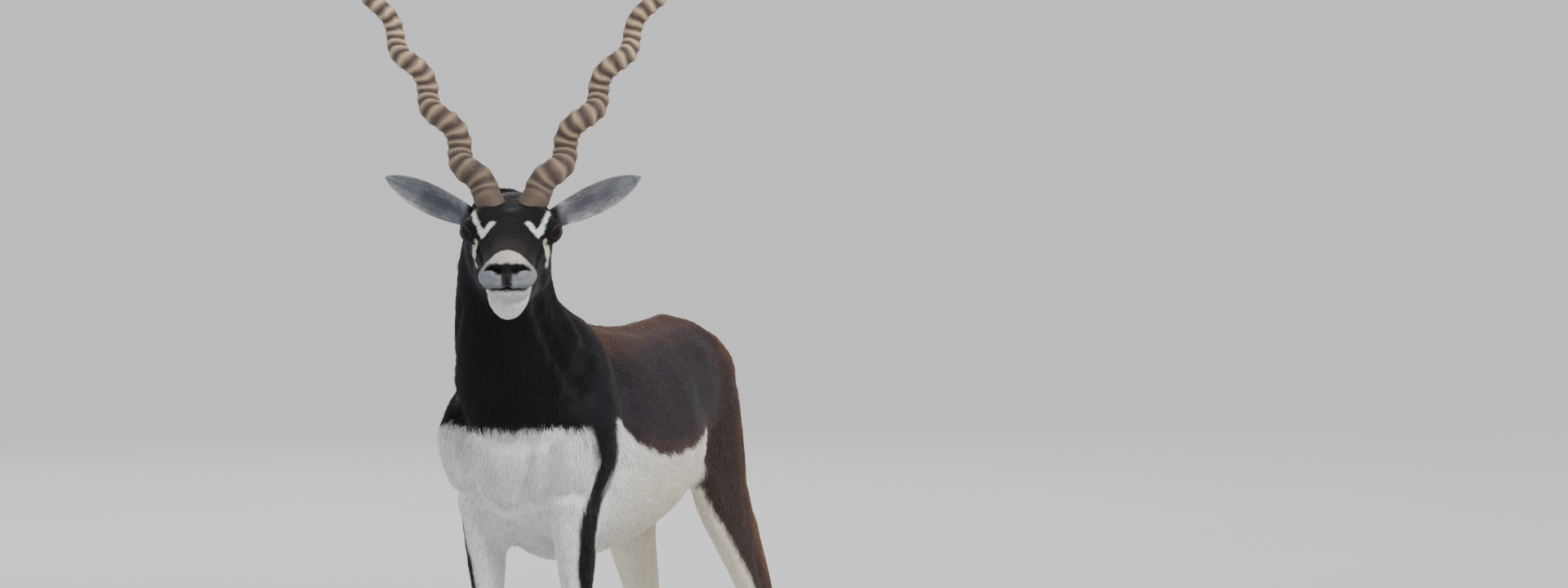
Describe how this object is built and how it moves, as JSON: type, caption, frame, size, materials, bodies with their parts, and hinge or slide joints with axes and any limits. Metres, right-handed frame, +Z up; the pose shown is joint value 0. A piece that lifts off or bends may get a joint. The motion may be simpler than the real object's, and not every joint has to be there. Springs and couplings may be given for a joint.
{
  "type": "blackbuck antelope",
  "caption": "Life-size model of a standing male blackbuck, with long ringed corkscrew horns, turning its head to its left.",
  "frame": {"origin": "on the ground, under the middle of the animal's box", "axes": "-Y is the way the body faces, +X is the animal's left, +Z is up"},
  "size_m": [0.5114, 1.169, 1.3053],
  "materials": {
    "dark_coat": "short glossy hair",
    "white_coat": "short soft hair",
    "ear_skin": "thin grey hair",
    "horn": "ringed keratin",
    "hoof": "dark keratin",
    "eye": "wet and clear"
  },
  "bodies": {
    "root": {"ear_left": "ear_skin", "ear_right": "ear_skin", "eye_left": "eye", "eye_right": "eye", "fore_left_cannon": "white_coat", "fore_left_dewclaw_inner": "hoof", "fore_left_dewclaw_outer": "hoof", "fore_left_forearm": "white_coat", "fore_left_hoof_inner": "hoof", "fore_left_hoof_outer": "hoof", "fore_left_pastern": "white_coat", "fore_right_cannon": "white_coat", "fore_right_dewclaw_inner": "hoof", "fore_right_dewclaw_outer": "hoof", "fore_right_forearm": "white_coat", "fore_right_hoof_inner": "hoof", "fore_right_hoof_outer": "hoof", "fore_right_pastern": "white_coat", "head": "dark_coat", "hind_left_cannon": "white_coat", "hind_left_dewclaw_inner": "hoof", "hind_left_dewclaw_outer": "hoof", "hind_left_gaskin": "white_coat", "hind_left_hoof_inner": "hoof", "hind_left_hoof_outer": "hoof", "hind_left_pastern": "white_coat", "hind_right_cannon": "white_coat", "hind_right_dewclaw_inner": "hoof", "hind_right_dewclaw_outer": "hoof", "hind_right_gaskin": "white_coat", "hind_right_hoof_inner": "hoof", "hind_right_hoof_outer": "hoof", "hind_right_pastern": "white_coat", "horn_left": "horn", "horn_right": "horn", "neck": "dark_coat", "tail": "dark_coat", "torso": "white_coat"}
  },
  "joints": []
}
